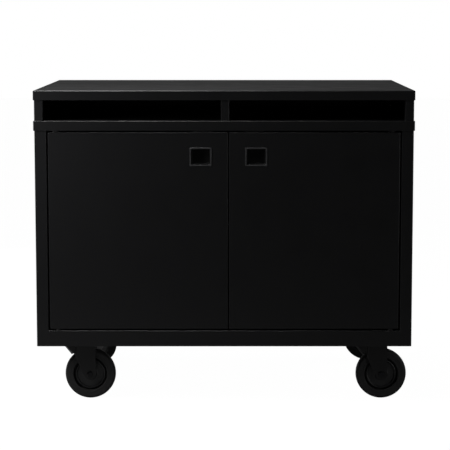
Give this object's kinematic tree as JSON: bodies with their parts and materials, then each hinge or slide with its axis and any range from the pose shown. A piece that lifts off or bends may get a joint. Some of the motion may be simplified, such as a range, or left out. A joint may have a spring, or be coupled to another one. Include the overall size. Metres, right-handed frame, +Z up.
{
  "type": "equipment cart",
  "caption": "Sheet-steel equipment cart: open divided bay under a flat top, cabinet with hinged doors and recessed pulls, swivel casters.",
  "frame": {"origin": "on the floor under the centre of the cart", "axes": "+X to the viewer's right across the cart, +Y to the back, +Z up; the doors face -Y"},
  "size_m": [0.914, 0.61, 0.7665],
  "materials": {
    "shell_black": "satin powder coat",
    "caster_black": "satin",
    "steel_hardware": "black plated",
    "pull_grey": "satin",
    "wheel_plastic": "matte moulded",
    "tyre_rubber": "matte",
    "nylon": "moulded",
    "catch_plastic": "moulded"
  },
  "bodies": {
    "chassis": {"top_pan": "shell_black", "mid_deck": "shell_black", "front_frame": "shell_black", "side_panel_left": "shell_black", "side_panel_right": "shell_black", "back_panel": "shell_black", "base_pan": "shell_black", "caster_channel_left": "shell_black", "caster_channel_right": "shell_black", "bay_side_left": "shell_black", "bay_side_right": "shell_black", "bay_back": "shell_black", "bay_divider": "shell_black", "shelf": "shell_black", "shelf_brackets": "shell_black", "pivot_bushings": "nylon", "door_catches": "catch_plastic", "caster_bolts": "steel_hardware", "caster_nuts": "steel_hardware", "kingpins": "steel_hardware", "swivel_races": "caster_black", "caster_plate_front_left": "caster_black", "caster_plate_front_right": "caster_black", "caster_plate_rear_left": "caster_black", "caster_plate_rear_right": "caster_black"},
    "door_left": {"door_skin_left": "shell_black", "door_back_left": "shell_black", "pull_cup_left": "pull_grey", "pivot_pins_left": "steel_hardware", "strike_plate_left": "steel_hardware"},
    "door_right": {"door_skin_right": "shell_black", "door_back_right": "shell_black", "pull_cup_right": "pull_grey", "pivot_pins_right": "steel_hardware", "strike_plate_right": "steel_hardware"},
    "swivel_front_left": {"fork_front_left": "caster_black", "axle_front_left": "steel_hardware", "axle_nut_front_left": "steel_hardware"},
    "wheel_front_left": {"wheel_core_front_left": "wheel_plastic", "tyre_front_left": "tyre_rubber"},
    "swivel_front_right": {"fork_front_right": "caster_black", "axle_front_right": "steel_hardware", "axle_nut_front_right": "steel_hardware"},
    "wheel_front_right": {"wheel_core_front_right": "wheel_plastic", "tyre_front_right": "tyre_rubber"},
    "swivel_rear_left": {"fork_rear_left": "caster_black", "axle_rear_left": "steel_hardware", "axle_nut_rear_left": "steel_hardware"},
    "wheel_rear_left": {"wheel_core_rear_left": "wheel_plastic", "tyre_rear_left": "tyre_rubber"},
    "swivel_rear_right": {"fork_rear_right": "caster_black", "axle_rear_right": "steel_hardware", "axle_nut_rear_right": "steel_hardware"},
    "wheel_rear_right": {"wheel_core_rear_right": "wheel_plastic", "tyre_rear_right": "tyre_rubber"}
  },
  "joints": [
    {"name": "door_left_hinge", "type": "hinge", "parent": "chassis", "child": "door_left", "pos_m": [-0.4027, -0.2937, 0.42775], "axis": [0, 0, -1], "range_deg": [0, 110]},
    {"name": "door_right_hinge", "type": "hinge", "parent": "chassis", "child": "door_right", "pos_m": [0.4027, -0.2937, 0.42775], "axis": [0, 0, 1], "range_deg": [0, 110]},
    {"name": "swivel_front_left_turn", "type": "hinge", "parent": "chassis", "child": "swivel_front_left", "pos_m": [-0.36, -0.217, 0.1477], "axis": [0, 0, 1], "continuous": true},
    {"name": "wheel_front_left_roll", "type": "hinge", "parent": "swivel_front_left", "child": "wheel_front_left", "pos_m": [-0.332, -0.217, 0.0625], "axis": [0, 1, 0], "continuous": true},
    {"name": "swivel_front_right_turn", "type": "hinge", "parent": "chassis", "child": "swivel_front_right", "pos_m": [0.36, -0.217, 0.1477], "axis": [0, 0, 1], "continuous": true},
    {"name": "wheel_front_right_roll", "type": "hinge", "parent": "swivel_front_right", "child": "wheel_front_right", "pos_m": [0.388, -0.217, 0.0625], "axis": [0, 1, 0], "continuous": true},
    {"name": "swivel_rear_left_turn", "type": "hinge", "parent": "chassis", "child": "swivel_rear_left", "pos_m": [-0.36, 0.252, 0.1477], "axis": [0, 0, 1], "continuous": true},
    {"name": "wheel_rear_left_roll", "type": "hinge", "parent": "swivel_rear_left", "child": "wheel_rear_left", "pos_m": [-0.34276, 0.22994, 0.0625], "axis": [0.788, 0.6157, 0], "continuous": true},
    {"name": "swivel_rear_right_turn", "type": "hinge", "parent": "chassis", "child": "swivel_rear_right", "pos_m": [0.36, 0.252, 0.1477], "axis": [0, 0, 1], "continuous": true},
    {"name": "wheel_rear_right_roll", "type": "hinge", "parent": "swivel_rear_right", "child": "wheel_rear_right", "pos_m": [0.38739, 0.24618, 0.0625], "axis": [0.2079, 0.9781, 0], "continuous": true}
  ]
}
